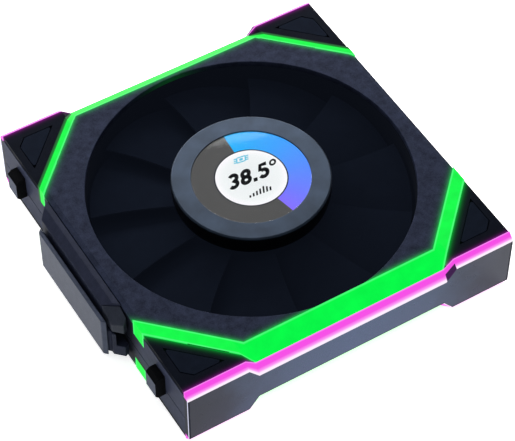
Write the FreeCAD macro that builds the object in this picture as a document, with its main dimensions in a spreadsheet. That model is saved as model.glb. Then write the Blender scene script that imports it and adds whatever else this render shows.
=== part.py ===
"""Case fan for a computer, 120 mm class, with lit edges, side connector module and round display.

Frame: the origin lies on the fan's axis in the plane of the rear face.  +Z points out of the front
(display) side, +X to the reader's right when the display's readout is upright, +Y to its top.
The connector module and the two chain pegs are on the left (-X) side, the chain sockets on the right.
All sizes are in millimetres.  The driving sizes are the cells of the spreadsheet `dims`.
"""
import FreeCAD, Part
import math
import os
import Sketcher
from FreeCAD import Placement, Rotation, Vector

DRIVING_SIZES = [
    # whole body
    ("pitch", 120.0, "side to side size, which is also the pitch of chained fans"),
    ("depth", 25.0, "thickness of the body without the display"),
    ("side_face", 62.4, "half of the size over the two mirror panels"),
    ("hole_pitch", 105.0, "spacing of the mounting holes"),
    ("hole_radius", 2.15, "mounting hole"),
    ("hole_depth", 14.0, "depth of a mounting hole from the rear face"),
    ("bore_radius", 54.1, "air duct"),
    # covers and lit strips
    ("cover", 2.2, "thickness of the front and rear plates"),
    ("plate_half", 53.4, "half width of a plate between its straight edges"),
    ("arm_sum", 88.4, "|x| + |y| along a plate's diagonal edges"),
    ("plate_bevel", 1.7, "width of the bevel along a plate's left and right edges"),
    ("plate_fall", 0.6, "fall of that bevel"),
    ("light_run", 6.6, "width of a lit strip, seen from the front"),
    ("light_drop", 3.1, "fall of a lit strip across its width"),
    ("top_shift", 2.1, "how much further out the plates reach along the top edge"),
    ("step_drop", 4.6, "how much lower a mirror panel is between its steps"),
    ("light_deep", 7.0, "depth of a light guide below the face"),
    ("edge_bevel", 2.3, "fall of the lit bevel beside a mirror panel"),
    ("edge_lip", 0.3, "flat lit lip under the bevel"),
    ("edge_leg", 2.0, "height of the guide's leg behind a mirror panel"),
    ("edge_bar", 0.6, "thickness of the guide's upright end bars"),
    ("step_outer", 38.3, "x where a mirror panel starts to narrow"),
    ("step_inner", 34.7, "x where a mirror panel is narrow"),
    ("mirror_deep", 1.3, "thickness of a mirror panel"),
    ("cap_drop", 0.3, "how far a corner cap lies below the plate's face"),
    ("cap_gap", 0.15, "seam round a corner cap"),
    ("pad_deep", 1.2, "thickness of a corner pad"),
    ("pad_gap", 0.25, "groove round a corner pad"),
    # motor and impeller
    ("hub_radius", 23.4, "impeller hub"),
    ("hub_low", 5.0, "rear edge of the hub"),
    ("hub_high", 19.6, "front face of the hub"),
    ("hub_wall", 1.4, "hub's side wall"),
    ("hub_roof", 2.0, "hub's front wall"),
    ("blade_tip", 52.9, "tip radius"),
    ("blade_count", 11, "blades"),
    ("post_radius", 4.0, "hollow post that carries the rotor and the display"),
    ("post_bore", 2.6, "inside of the post"),
    ("bearing_fit", 0.04, "radial clearance of the bearings on the post"),
    ("bearing_outer", 7.2, "outer radius of the bearings"),
    ("tube_inner", 8.9, "stator tube, inside"),
    ("tube_outer", 9.6, "stator tube, outside"),
    ("tube_high", 15.4, "top of the stator's tube"),
    ("base_radius", 22.0, "motor base"),
    ("base_low", 1.2, "rear face of the motor base"),
    ("base_high", 3.4, "front face of the motor base"),
    ("strut_wide", 4.0, "struts that hold the motor base"),
    ("strut_high", 4.6, "front edge of the struts"),
    # display head
    ("head_radius", 26.2, "bezel"),
    ("head_high", 28.4, "front face of the bezel"),
    ("head_low", 21.2, "rear edge of the bezel's skirt"),
    ("skirt", 1.2, "thickness of the bezel's skirt"),
    ("window_radius", 19.6, "window of the bezel"),
    ("lens_deep", 0.6, "thickness of the lens"),
    ("lens_sink", 0.3, "how far the lens lies below the bezel"),
    # connector module
    ("module_gap", 0.2, "gap between the module and the body"),
    ("module_body", 4.7, "how far the module's body stands out at its top"),
    ("module_shelf", 5.8, "how far the module's foot stands out"),
    ("module_face", 7.2, "how far the cover's outer face stands out"),
    ("module_low", 3.6, "rear edge of the module"),
    ("module_high", 24.4, "front edge of the module, next to the body"),
    ("module_brow", 22.2, "front edge of the module, next to the slot"),
    ("slot_floor", 16.0, "floor of the slot between module and cover"),
    ("module_sum_low", 87.5, "|x| + |y| at the module's lower end"),
    ("module_sum_high", 88.5, "|x| + |y| at the module's upper end"),
    ("latch_sum", 81.4, "|x| + |y| at the latch's start"),
    ("latch_travel", 1.0, "travel of the release latch"),
    ("latch_seat", 14.4, "floor under the latch and top of the cable socket"),
    ("latch_high", 24.0, "highest corner of the latch"),
    # chain pegs
    ("peg_out", 3.6, "how far a peg stands out"),
    ("peg_wide", 6.0, "width of a peg"),
    ("peg_low", 9.5, "rear edge of a peg"),
    ("peg_high", 18.5, "front edge of a peg"),
    ("peg_bottom_y", -45.3, "middle of the lower peg"),
    ("peg_top_y", 47.8, "middle of the upper peg"),
    ("peg_room", 0.4, "clearance round a peg in its socket"),
]

SIDES = {"top": 1, "bottom": -1}
FACES = {"front": 1, "rear": -1}
HANDS = {"left": -1, "right": 1}

doc = FreeCAD.newDocument("case_fan")
sheet = doc.addObject("Spreadsheet::Sheet", "dims")
for row, (alias, value, meaning) in enumerate(DRIVING_SIZES, 1):
    sheet.set(f"A{row}", alias)
    sheet.set(f"B{row}", str(value))
    sheet.set(f"C{row}", meaning)
    sheet.setAlias(f"B{row}", alias)
doc.recompute()

nodes = []


def keep(feature, label):
    """Name a finished piece and put it on the list of pieces to write."""
    feature.Label = label
    nodes.append(feature)
    return feature


def size(expression):
    """Value of an expression in the sheet's sizes, such as 'dims.pitch / 2'."""
    return float(sheet.evalExpression(expression.replace("dims.", "")))


# ---------------------------------------------------------------- sketching


def new_body(name):
    return doc.addObject("PartDesign::Body", name)


def sketch_on(body, role, offset="0"):
    """Empty sketch on one of the body's origin planes, moved along the plane's normal by `offset`."""
    sketch = body.newObject("Sketcher::SketchObject", "sketch")
    plane = [item for item in body.Origin.OriginFeatures if item.Role == role][0]
    sketch.AttachmentSupport = (plane, [""])
    sketch.MapMode = "FlatFace"
    sketch.setExpression(".AttachmentOffset.Base.z", offset)
    return sketch


def bind(sketch, kind, geometry, position, expression):
    """Fix one coordinate of a sketch point, measured from the origin, to an expression."""
    number = sketch.addConstraint(
        Sketcher.Constraint(kind, -1, 1, geometry, position, size(expression)))
    sketch.setExpression(f"Constraints[{number}]", expression)


def polygon(sketch, corners):
    """Closed outline of straight lines; each corner is a pair of expressions."""
    points = [Vector(size(x), size(y), 0) for x, y in corners]
    count = len(points)
    lines = [Part.LineSegment(points[i], points[(i + 1) % count]) for i in range(count)]
    ids = sketch.addGeometry(lines, False)
    for i in range(count):
        sketch.addConstraint(Sketcher.Constraint("Coincident", ids[i], 2, ids[(i + 1) % count], 1))
    for i, (x, y) in enumerate(corners):
        bind(sketch, "DistanceX", ids[i], 1, x)
        bind(sketch, "DistanceY", ids[i], 1, y)


def rectangle(sketch, low, high):
    polygon(sketch, [(low[0], low[1]), (high[0], low[1]), (high[0], high[1]), (low[0], high[1])])


def circle(sketch, x, y, radius):
    shape = Part.Circle(Vector(size(x), size(y), 0), Vector(0, 0, 1), size(radius))
    number = sketch.addGeometry(shape, False)
    bind(sketch, "DistanceX", number, 3, x)
    bind(sketch, "DistanceY", number, 3, y)
    limit = sketch.addConstraint(Sketcher.Constraint("Radius", number, size(radius)))
    sketch.setExpression(f"Constraints[{limit}]", radius)


def pad(body, sketch, length):
    feature = body.newObject("PartDesign::Pad", "pad")
    feature.Profile = sketch
    feature.setExpression("Length", length)
    sketch.Visibility = False
    doc.recompute()
    return feature


def changes(body, action):
    """Run an action that must take material away, and stop if it takes none."""
    before = body.Shape.Volume
    action()
    doc.recompute()
    if body.Shape.Volume > before - 1e-6:
        raise RuntimeError(f"a cut in {body.Name} removes nothing")


def pocket(body, sketch, length, flip=True):
    """Cut along the sketch's normal (flip) or against it."""
    def cut():
        feature = body.newObject("PartDesign::Pocket", "pocket")
        feature.Profile = sketch
        feature.setExpression("Length", length)
        feature.Reversed = flip
    changes(body, cut)


def turned(body, profile, cutting=False):
    """Revolve (or groove) a profile of (radius, height) corners about the fan's axis."""
    sketch = sketch_on(body, "XZ_Plane")
    polygon(sketch, profile)

    def turn():
        kind = "PartDesign::Groove" if cutting else "PartDesign::Revolution"
        feature = body.newObject(kind, "turned")
        feature.Profile = sketch
        feature.ReferenceAxis = (sketch, ["V_Axis"])
        feature.Angle = 360
    if cutting:
        changes(body, turn)
    else:
        turn()
        doc.recompute()


def pattern(body, feature, count):
    """Repeat a feature round the fan's axis."""
    axis = [item for item in body.Origin.OriginFeatures if item.Role == "Z_Axis"][0]
    polar = body.newObject("PartDesign::PolarPattern", "pattern")
    polar.Originals = [feature]
    polar.Axis = (axis, [""])
    polar.Angle = 360
    polar.setExpression("Occurrences", count)
    body.Tip = polar
    doc.recompute()
    return polar


def upright(body, outline, low, high, holes=()):
    """Pad an XY outline from height `low` to `high`; holes are (x, y, radius)."""
    sketch = sketch_on(body, "XY_Plane", low)
    polygon(sketch, outline)
    for x, y, radius in holes:
        circle(sketch, x, y, radius)
    return pad(body, sketch, f"({high}) - ({low})")


def along_y(body, outline, low, high):
    """Pad an XZ outline from y = `low` to y = `high`."""
    sketch = sketch_on(body, "XZ_Plane", f"-({high})")
    polygon(sketch, outline)
    return pad(body, sketch, f"({high}) - ({low})")


def along_x(body, outline, low, high):
    """Pad a YZ outline from x = `low` to x = `high`."""
    sketch = sketch_on(body, "YZ_Plane", low)
    polygon(sketch, outline)
    return pad(body, sketch, f"({high}) - ({low})")


def drill(body, spots, radius, low, high):
    """Round holes along Z at (x, y) spots."""
    sketch = sketch_on(body, "XY_Plane", low)
    for x, y in spots:
        circle(sketch, x, y, radius)
    pocket(body, sketch, f"({high}) - ({low})")


def hollow_box(body, low, high):
    """Cut a box out of a body, from corner `low` to corner `high`."""
    sketch = sketch_on(body, "XY_Plane", low[2])
    rectangle(sketch, low[:2], high[:2])
    pocket(body, sketch, f"({high[2]}) - ({low[2]})")


def ring(name, inner, outer, low, high):
    body = new_body(name)
    turned(body, [(inner, low), (outer, low), (outer, high), (inner, high)])
    return keep(body, name)


def disc(name, radius, low, high):
    body = new_body(name)
    turned(body, [("0", low), (radius, low), (radius, high), ("0", high)])
    return keep(body, name)


def height(face, below):
    """Height of a level that lies `below` the face: counted from the front or from the rear."""
    return f"dims.depth - ({below})" if face > 0 else f"({below})"


def round_uprights(body, radius):
    """Fillet every edge of the body that runs along Z."""
    base = body.Tip
    names = []
    for number, edge in enumerate(body.Shape.Edges, 1):
        straight = isinstance(edge.Curve, Part.Line)
        if straight and abs(edge.tangentAt(edge.FirstParameter).z) > 0.999:
            names.append(f"Edge{number}")
    feature = body.newObject("PartDesign::Fillet", "fillet")
    feature.Base = (base, names)
    feature.Radius = radius
    body.Tip = feature
    doc.recompute()


# ---------------------------------------------------------------- lit strips


def ruled(name, stations):
    """Solid through outlines that stand at x = const; stations are (x, outline in y and z)."""
    sections = []
    for x, outline in stations:
        sketch = doc.addObject("Sketcher::SketchObject", "section")
        sketch.Placement = Placement(Vector(0, 0, 0), Rotation(Vector(0, 1, 0), Vector(0, 0, 1),
                                                               Vector(1, 0, 0), "ZXY"))
        sketch.setExpression("Placement.Base.x", x)
        polygon(sketch, outline)
        sections.append(sketch)
    loft = doc.addObject("Part::Loft", name)
    loft.Sections = sections
    loft.Solid = True
    loft.Ruled = True
    doc.recompute()
    return loft


def plate_shift(side):
    """How much further out the plates' edge lies than `plate_half` and `arm_sum` say."""
    return "dims.top_shift" if side > 0 else "0"


def light_strip(name, side, face, fall):
    """Strip along one long edge, following the plate's outline.

    Its arms are level with the face; between them it falls by `fall` across its width.
    """
    def outline(inner, sink="0"):
        near = f"{side} * ({inner} + {plate_shift(side)})"
        far = f"{side} * ({inner} + dims.light_run)"
        return [(near, height(face, "0")), (far, height(face, sink)),
                (far, height(face, "dims.light_deep")), (near, height(face, "dims.light_deep"))]
    tip = outline("dims.arm_sum - dims.pitch / 2")
    step = outline("dims.arm_sum - dims.step_outer")
    middle = outline("dims.plate_half", fall)
    bend = "dims.arm_sum - dims.plate_half"
    return ruled(name, [("-dims.pitch / 2", tip), ("-dims.step_outer", step), (f"-({bend})", middle),
                        (bend, middle), ("dims.step_outer", step), ("dims.pitch / 2", tip)])


def duct_cutter():
    tool = doc.addObject("Part::Cylinder", "duct_cutter")
    tool.setExpression("Radius", "dims.bore_radius")
    tool.setExpression("Height", "dims.depth * 2")
    tool.setExpression("Placement.Base.z", "-dims.depth / 2")
    return tool


def cut(name, base, tool):
    feature = doc.addObject("Part::Cut", name)
    feature.Base = base
    feature.Tool = tool
    doc.recompute()
    return feature


def fuse(name, shapes):
    feature = doc.addObject("Part::MultiFuse", name)
    feature.Shapes = shapes
    doc.recompute()
    return feature


def light_guides():
    """The four lit strips.  Returns the tools that open the housing above and around them."""
    seats = []
    for side_name, side in SIDES.items():
        for face_name, face in FACES.items():
            name = f"{face_name}_light_guide_{side_name}"
            keep(light_strip(name, side, face, "dims.light_drop"), name)
            seats.append(light_strip("light_seat", side, face, "0"))
    return seats


def edge_outline(side, face, sink, foot):
    """Section of a mirror panel's light guide: its bevel runs from `sink` to `foot` below the face."""
    wall = "dims.pitch / 2"
    lip = f"{foot} + dims.edge_lip"
    leg = "dims.side_face - dims.mirror_deep"
    points = [(wall, sink), ("dims.side_face", foot), ("dims.side_face", lip),
              (leg, lip), (leg, f"{lip} + dims.edge_leg"), (wall, f"{lip} + dims.edge_leg")]
    return [(f"{side} * ({y})", height(face, below)) for y, below in points]


def edge_strip(side, face):
    high = edge_outline(side, face, "0", "dims.edge_bevel")
    low = edge_outline(side, face, "dims.light_drop", "dims.edge_bevel + dims.step_drop")
    return ruled("edge_strip", [
        ("-dims.pitch / 2", high), ("-dims.step_outer", high), ("-dims.step_inner", low),
        ("dims.step_inner", low), ("dims.step_outer", high), ("dims.pitch / 2", high)])


def edge_bar(side, hand):
    """Upright bar at the end of a mirror panel, between the front and rear strips."""
    bar = doc.addObject("Part::Box", "edge_bar")
    lip = "(dims.edge_bevel + dims.edge_lip)"
    bar.setExpression("Length", "dims.edge_bar")
    bar.setExpression("Width", "dims.side_face - dims.pitch / 2")
    bar.setExpression("Height", f"dims.depth - 2 * {lip}")
    start = "dims.pitch / 2 - dims.edge_bar" if hand > 0 else "-dims.pitch / 2"
    bar.setExpression("Placement.Base.x", start)
    bar.setExpression("Placement.Base.y", "dims.pitch / 2" if side > 0 else "-dims.side_face")
    bar.setExpression("Placement.Base.z", lip)
    return bar


def edge_light_guides():
    for side_name, side in SIDES.items():
        pieces = [edge_strip(side, face) for face in FACES.values()]
        pieces += [edge_bar(side, hand) for hand in HANDS.values()]
        name = f"edge_light_guide_{side_name}"
        keep(fuse(name, pieces), name)


def mirror_panels():
    """Smoked mirror panels, narrow in the middle and full height at both ends."""
    lip = "(dims.edge_bevel + dims.edge_lip)"
    end = "(dims.pitch / 2 - dims.edge_bar)"
    narrow = f"({lip} + dims.step_drop)"
    low_edge = [(f"-{end}", lip), ("-dims.step_outer", lip), ("-dims.step_inner", narrow),
                ("dims.step_inner", narrow), ("dims.step_outer", lip), (end, lip)]
    high_edge = [(x, f"dims.depth - {z}") for x, z in reversed(low_edge)]
    for side_name, side in SIDES.items():
        inner = "dims.side_face - dims.mirror_deep"
        limits = (inner, "dims.side_face") if side > 0 else ("-dims.side_face", f"-({inner})")
        body = new_body("mirror_panel")
        along_y(body, low_edge + high_edge, *limits)
        keep(body, f"mirror_panel_{side_name}")


def side_leds():
    """A narrow board with a row of LEDs behind each mirror panel."""
    board_half = "33"
    board_low = "10"
    board_high = "15"
    board_deep = "0.5"
    led_count = 12
    led_pitch = 5.4
    led_half = 0.8
    led_low = "11.7"
    led_high = "13.3"
    led_deep = "0.35"
    for side_name, side in SIDES.items():
        wall = "dims.pitch / 2"
        levels = [wall, f"{wall} + {board_deep}", f"{wall} + {board_deep} + {led_deep}"]

        def span(inner, outer):
            return (inner, outer) if side > 0 else (f"-({outer})", f"-({inner})")
        board = new_body("led_board")
        outline = [(f"-{board_half}", board_low), (board_half, board_low),
                   (board_half, board_high), (f"-{board_half}", board_high)]
        along_y(board, outline, *span(levels[0], levels[1]))
        keep(board, f"led_board_{side_name}")
        chips = []
        for number in range(led_count):
            middle = (number - (led_count - 1) / 2) * led_pitch
            low, high = span(levels[1], levels[2])
            chip = doc.addObject("Part::Box", "led")
            chip.setExpression("Length", str(2 * led_half))
            chip.setExpression("Width", f"({high}) - ({low})")
            chip.setExpression("Height", f"{led_high} - {led_low}")
            chip.setExpression("Placement.Base.x", str(middle - led_half))
            chip.setExpression("Placement.Base.y", low)
            chip.setExpression("Placement.Base.z", led_low)
            chips.append(chip)
        keep(group(f"led_row_{side_name}", chips), f"led_row_{side_name}")


def group(name, members):
    """One node made of several separate solids."""
    feature = doc.addObject("Part::Compound", name)
    feature.Links = members
    doc.recompute()
    return feature


# ---------------------------------------------------------------- covers and corners


def plate_outline():
    """Cover plate: straight top and bottom, four diagonal edges, open to the left and right."""
    half = "dims.pitch / 2"
    tip = "dims.arm_sum - dims.pitch / 2"
    bend = "dims.arm_sum - dims.plate_half"
    quarter = [(half, tip), (bend, "dims.plate_half")]
    points = []
    for x_sign, y_sign, corners in ((1, 1, quarter), (-1, 1, quarter[::-1]),
                                    (-1, -1, quarter), (1, -1, quarter[::-1])):
        shift = plate_shift(y_sign)
        points += [(f"{x_sign} * ({x})", f"{y_sign} * ({y} + {shift})") for x, y in corners]
    return points


SCREW_X = "55.4"
SCREW_Y = "22"
SCREW_SPOTS = [(f"{x} * {SCREW_X}", f"{y} * {SCREW_Y}") for x in (-1, 1) for y in (-1, 1)]
SCREW_SHAFT = "1"
SCREW_HEAD = "1.9"
SCREW_HEAD_LOW = "0.3"
SCREW_HEAD_HIGH = "1.4"
SCREW_END = "9"


def cover_plates():
    """Front and rear plates: wide beside the air duct, narrow or open above and below it."""
    for face_name, face in FACES.items():
        low, high = ("dims.depth - dims.cover", "dims.depth") if face > 0 else ("0", "dims.cover")
        blank = new_body("plate_blank")
        upright(blank, plate_outline(), low, high)
        bevel_sides(blank, face)
        if face < 0:
            drill(blank, SCREW_SPOTS, SCREW_SHAFT, "0", "dims.cover")
            drill(blank, SCREW_SPOTS, SCREW_HEAD, "0", SCREW_HEAD_HIGH)
        whole = cut("plate_halves", blank, duct_cutter())
        keep(whole, f"{face_name}_plate")


def bevel_sides(plate, face):
    """Bevel a plate's left and right edges."""
    half = "dims.pitch / 2"
    reach = "dims.pitch / 3"
    for hand in HANDS.values():
        sketch = sketch_on(plate, "XZ_Plane", f"-({reach})")
        polygon(sketch, [(f"{hand} * {half}", height(face, "0")),
                         (f"{hand} * ({half} - dims.plate_bevel)", height(face, "0")),
                         (f"{hand} * {half}", height(face, "dims.plate_fall"))])
        pocket(plate, sketch, f"2 * {reach}")


def cover_screws():
    """Four screws that hold the rear plate to the housing."""
    screws = []
    for x, y in SCREW_SPOTS:
        parts = []
        for radius, low, high in ((SCREW_SHAFT, SCREW_HEAD_HIGH, SCREW_END),
                                  (SCREW_HEAD, SCREW_HEAD_LOW, SCREW_HEAD_HIGH)):
            bar = doc.addObject("Part::Cylinder", "screw_bar")
            bar.setExpression("Radius", radius)
            bar.setExpression("Height", f"{high} - {low}")
            bar.setExpression("Placement.Base.x", x)
            bar.setExpression("Placement.Base.y", y)
            bar.setExpression("Placement.Base.z", low)
            parts.append(bar)
        screws.append(fuse("screw", parts))
    keep(group("cover_screws", screws), "cover_screws")


PAD_SIDE_X = "57.3"
PAD_SIDE_Y = "56.1"
PAD_SUM = "99.4"
PAD_TIP = "3.1"
PAD_ROUND = 0.6


def pad_outline(hand, side, inset):
    """Rounded triangle of a corner pad, drawn smaller by `inset`."""
    right = f"({PAD_SIDE_X} - {inset})"
    top = f"({PAD_SIDE_Y} - {inset})"
    total = f"({PAD_SUM} + 1.4142 * {inset})"
    corners = [(right, f"{total} - {right}"), (right, f"{top} - {PAD_TIP}"),
               (f"{right} - {PAD_TIP}", top), (f"{total} - {top}", top)]
    return [(f"{hand} * ({x})", f"{side} * ({y})") for x, y in corners]


def slope_tip(body, side, hand, face):
    """Cut a corner's tip beside the lit strip down along the mirror panel's step."""
    limit = "dims.pitch / 2" if side > 0 else "-dims.plate_half"
    sketch = sketch_on(body, "XZ_Plane", f"-({limit})")
    polygon(sketch, [(f"{hand} * dims.step_outer", height(face, "0")),
                     (f"{hand} * dims.step_inner", height(face, "dims.light_drop")),
                     (f"{hand} * dims.step_inner", height(face, "0"))])
    pocket(body, sketch, "dims.pitch / 2 - dims.plate_half")


def corner_pieces():
    """A cap and a soft pad at each corner, front and rear; the rear ones have the mounting holes."""
    hole = "dims.hole_pitch / 2"
    for face_name, face in FACES.items():
        for side_name, side in SIDES.items():
            for hand_name, hand in HANDS.items():
                where = f"{face_name}_{side_name}_{hand_name}"
                outer = "(dims.pitch / 2 - dims.cap_gap)"
                start = "(dims.arm_sum + dims.light_run)"
                triangle = [(outer, f"{start} - {outer}"), (outer, "dims.pitch / 2"),
                            (f"{start} - dims.pitch / 2", "dims.pitch / 2")]
                triangle = [(f"{hand} * ({x})", f"{side} * ({y})") for x, y in triangle]
                skin = height(face, "dims.cap_drop")
                seat = height(face, "dims.cap_drop + dims.pad_deep")
                root = height(face, "dims.cover")
                cap = new_body("corner_cap")
                upright(cap, triangle, *((root, skin) if face > 0 else (skin, root)))
                slope_tip(cap, side, hand, face)
                recess = sketch_on(cap, "XY_Plane", seat if face > 0 else skin)
                polygon(recess, pad_outline(hand, side, "0"))
                pocket(cap, recess, "dims.pad_deep")
                soft = new_body("corner_pad")
                upright(soft, pad_outline(hand, side, "dims.pad_gap"),
                        *((seat, skin) if face > 0 else (skin, seat)))
                round_uprights(soft, PAD_ROUND)
                if face < 0:
                    spot = [(f"{hand} * {hole}", f"{side} * {hole}")]
                    drill(cap, spot, "dims.hole_radius", skin, root)
                    drill(soft, spot, "dims.hole_radius", skin, seat)
                keep(cap, f"{where}_cap")
                keep(soft, f"{where}_pad")


# ---------------------------------------------------------------- housing

CONTACT_HALF = "8"
CONTACT_LOW = "9"
CONTACT_HIGH = "16"
CONTACT_DEEP = "1.4"
LUG_SPOTS = (-18, 18)
LUG_HALF = "2.5"
LUG_LOW = "10"
LUG_HIGH = "15"
LUG_DEEP = "2.4"
LUG_ROOM = "0.25"
SEAM_LOW = "11.0"
SEAM_HIGH = "11.35"
SEAM_DEEP = "0.25"


def peg_outline():
    wall = "-dims.pitch / 2"
    tip = "-dims.pitch / 2 - dims.peg_out"
    small = "0.9"
    large = "1.4"
    return [(wall, "dims.peg_low"), (f"{tip} + {small}", "dims.peg_low"),
            (tip, f"dims.peg_low + {small}"), (tip, f"dims.peg_high - {large}"),
            (f"{tip} + {large}", "dims.peg_high"), (wall, "dims.peg_high")]


def housing(light_seats):
    """Main moulding: square duct, chain pegs and sockets, motor base on four struts."""
    half = "dims.pitch / 2"
    low = "dims.cover"
    high = "dims.depth - dims.cover"
    body = new_body("housing_blank")
    square = [(f"-{half}", f"-{half}"), (half, f"-{half}"), (half, half), (f"-{half}", half)]
    upright(body, square, low, high, [("0", "0", "dims.bore_radius")])
    hollow_box(body, (f"-{half}", f"-{half}", SEAM_LOW), (f"-({half} - {SEAM_DEEP})", half, SEAM_HIGH))
    for middle in ("dims.peg_bottom_y", "dims.peg_top_y"):
        along_y(body, peg_outline(), f"{middle} - dims.peg_wide / 2", f"{middle} + dims.peg_wide / 2")
        side_room = "(dims.peg_wide / 2 + dims.peg_room)"
        hollow_box(body, (f"{half} - dims.peg_out - 2 * dims.peg_room", f"{middle} - {side_room}",
                          "dims.peg_low - dims.peg_room"),
                   (half, f"{middle} + {side_room}", "dims.peg_high + dims.peg_room"))
    contact_seats = ((f"-{half}", f"-({half} - {CONTACT_DEEP})"), (f"{half} - {CONTACT_DEEP}", half))
    for near, far in contact_seats:
        hollow_box(body, (near, f"-{CONTACT_HALF}", CONTACT_LOW), (far, CONTACT_HALF, CONTACT_HIGH))
    for middle in LUG_SPOTS:
        hollow_box(body, (f"-{half}", f"{middle} - {LUG_HALF} - {LUG_ROOM}", f"{LUG_LOW} - {LUG_ROOM}"),
                   (f"-({half} - {LUG_DEEP} - {LUG_ROOM})", f"{middle} + {LUG_HALF} + {LUG_ROOM}",
                    f"{LUG_HIGH} + {LUG_ROOM}"))
    hole = "dims.hole_pitch / 2"
    corners = [(f"{x} * {hole}", f"{y} * {hole}") for x in (-1, 1) for y in (-1, 1)]
    drill(body, corners, "dims.hole_radius", "0", "dims.hole_depth")
    drill(body, SCREW_SPOTS, SCREW_SHAFT, "0", SCREW_END)
    for side in SIDES.values():
        for hand in HANDS.values():
            for face in FACES.values():
                slope_tip(body, side, hand, face)
    seated = cut("housing_duct", body, group("light_seats", light_seats))
    keep(fuse("frame_housing", [seated, motor_base()]), "frame_housing")


def motor_base():
    """Motor base with the stator's tube, and the struts that reach the duct's wall."""
    body = new_body("motor_base")
    turned(body, [("dims.post_radius", "dims.base_low"), ("dims.base_radius", "dims.base_low"),
                  ("dims.base_radius", "dims.base_high"), ("dims.tube_outer", "dims.base_high"),
                  ("dims.tube_outer", "dims.tube_high"), ("dims.tube_inner", "dims.tube_high"),
                  ("dims.tube_inner", "dims.base_high"), ("dims.post_radius", "dims.base_high")])
    start = "dims.base_radius - 1"
    end = "dims.bore_radius + 0.6"
    sweep = "9"
    thick = "dims.strut_wide / 2"
    strut = upright(body, [(start, f"-{thick}"), (end, f"{sweep} - {thick}"),
                           (end, f"{sweep} + {thick}"), (start, thick)],
                    "dims.cover", "dims.strut_high")
    pattern(body, strut, "4")
    body.Placement = Placement(Vector(0, 0, 0), Rotation(Vector(0, 0, 1), 45))
    return body


PIN_LEVEL = "12.5"
PIN_RADIUS = "0.5"
PIN_DEEP = "0.8"


def contact_blocks():
    """Insulating blocks: the left one meets the module, the right one the next fan."""
    half = "dims.pitch / 2"
    pin_count = 8
    pin_pitch = 1.8
    pins = []
    for name, near, far in (("module_contact_block", f"-{half}", f"-({half} - {CONTACT_DEEP})"),
                            ("chain_contact_block", f"{half} - {CONTACT_DEEP}", half)):
        body = new_body("contact_block")
        outline = [(f"-{CONTACT_HALF}", CONTACT_LOW), (CONTACT_HALF, CONTACT_LOW),
                   (CONTACT_HALF, CONTACT_HIGH), (f"-{CONTACT_HALF}", CONTACT_HIGH)]
        along_x(body, outline, near, far)
        keep(body, name)
        if name == "chain_contact_block":
            sketch = sketch_on(body, "YZ_Plane", f"{half} - {PIN_DEEP}")
            for number in range(pin_count):
                spot = str((number - (pin_count - 1) / 2) * pin_pitch)
                circle(sketch, spot, PIN_LEVEL, PIN_RADIUS)
                pins.append(pin(f"{half} - {PIN_DEEP}", half, spot, PIN_LEVEL, PIN_RADIUS))
            pocket(body, sketch, PIN_DEEP)
    keep(group("chain_contact_pins", pins), "chain_contact_pins")


def pin(start, end, y, z, radius):
    """Round pin along X."""
    bar = doc.addObject("Part::Cylinder", "pin")
    bar.Placement = Placement(Vector(0, 0, 0), Rotation(Vector(0, 1, 0), 90))
    bar.setExpression("Radius", radius)
    bar.setExpression("Height", f"({end}) - ({start})")
    bar.setExpression("Placement.Base.x", start)
    bar.setExpression("Placement.Base.y", y)
    bar.setExpression("Placement.Base.z", z)
    return bar


# ---------------------------------------------------------------- motor

CORE_LOW = "8"
CORE_HIGH = "12"
CORE_RING = "12.6"
SLEEVE = "0.8"
TOOTH_HALF = "2.2"
POLE_OUTER = "18.2"
POLE_INNER = "16.2"
COIL_INNER = "12.8"
COIL_OUTER = "15.5"
COIL_THICK = "1.6"


def stator():
    """Laminated core with four teeth, its insulator and the four coils."""
    core = new_body("stator_core")
    ring_inner = f"dims.tube_outer + {SLEEVE}"
    turned(core, [(ring_inner, CORE_LOW), (CORE_RING, CORE_LOW), (CORE_RING, CORE_HIGH),
                  (ring_inner, CORE_HIGH)])
    tooth_start = f"{CORE_RING} - 0.6"
    tooth_end = f"{POLE_INNER} + 0.5"
    tooth = upright(core, [(tooth_start, f"-{TOOTH_HALF}"), (tooth_end, f"-{TOOTH_HALF}"),
                           (tooth_end, TOOTH_HALF), (tooth_start, TOOTH_HALF)], CORE_LOW, CORE_HIGH)
    pattern(core, tooth, "4")
    turned(core, [(POLE_INNER, CORE_LOW), (POLE_OUTER, CORE_LOW), (POLE_OUTER, CORE_HIGH),
                  (POLE_INNER, CORE_HIGH)])
    gap_half = 1.6
    for angle in (45, 135, 225, 315):
        slot_direction = Vector(math.cos(math.radians(angle)), math.sin(math.radians(angle)), 0)
        across = Vector(-slot_direction.y, slot_direction.x, 0)
        near = slot_direction * 15
        far = slot_direction * 20
        corners = [near - across * gap_half, far - across * gap_half,
                   far + across * gap_half, near + across * gap_half]
        sketch = sketch_on(core, "XY_Plane", CORE_LOW)
        polygon(sketch, [(f"{p.x:.4f}", f"{p.y:.4f}") for p in corners])
        pocket(core, sketch, f"{CORE_HIGH} - {CORE_LOW}")
    keep(core, "stator_core")
    sleeve = new_body("stator_insulator")
    flange = f"{CORE_LOW} - {SLEEVE}"
    roof = f"{CORE_HIGH} + {SLEEVE}"
    turned(sleeve, [("dims.tube_outer", flange), (CORE_RING, flange), (CORE_RING, CORE_LOW),
                    (ring_inner, CORE_LOW), (ring_inner, CORE_HIGH), (CORE_RING, CORE_HIGH),
                    (CORE_RING, roof), ("dims.tube_outer", roof)])
    keep(sleeve, "stator_insulator")
    coils = [coil(angle) for angle in (0, 90, 180, 270)]
    keep(group("stator_windings", coils), "stator_windings")


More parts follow.
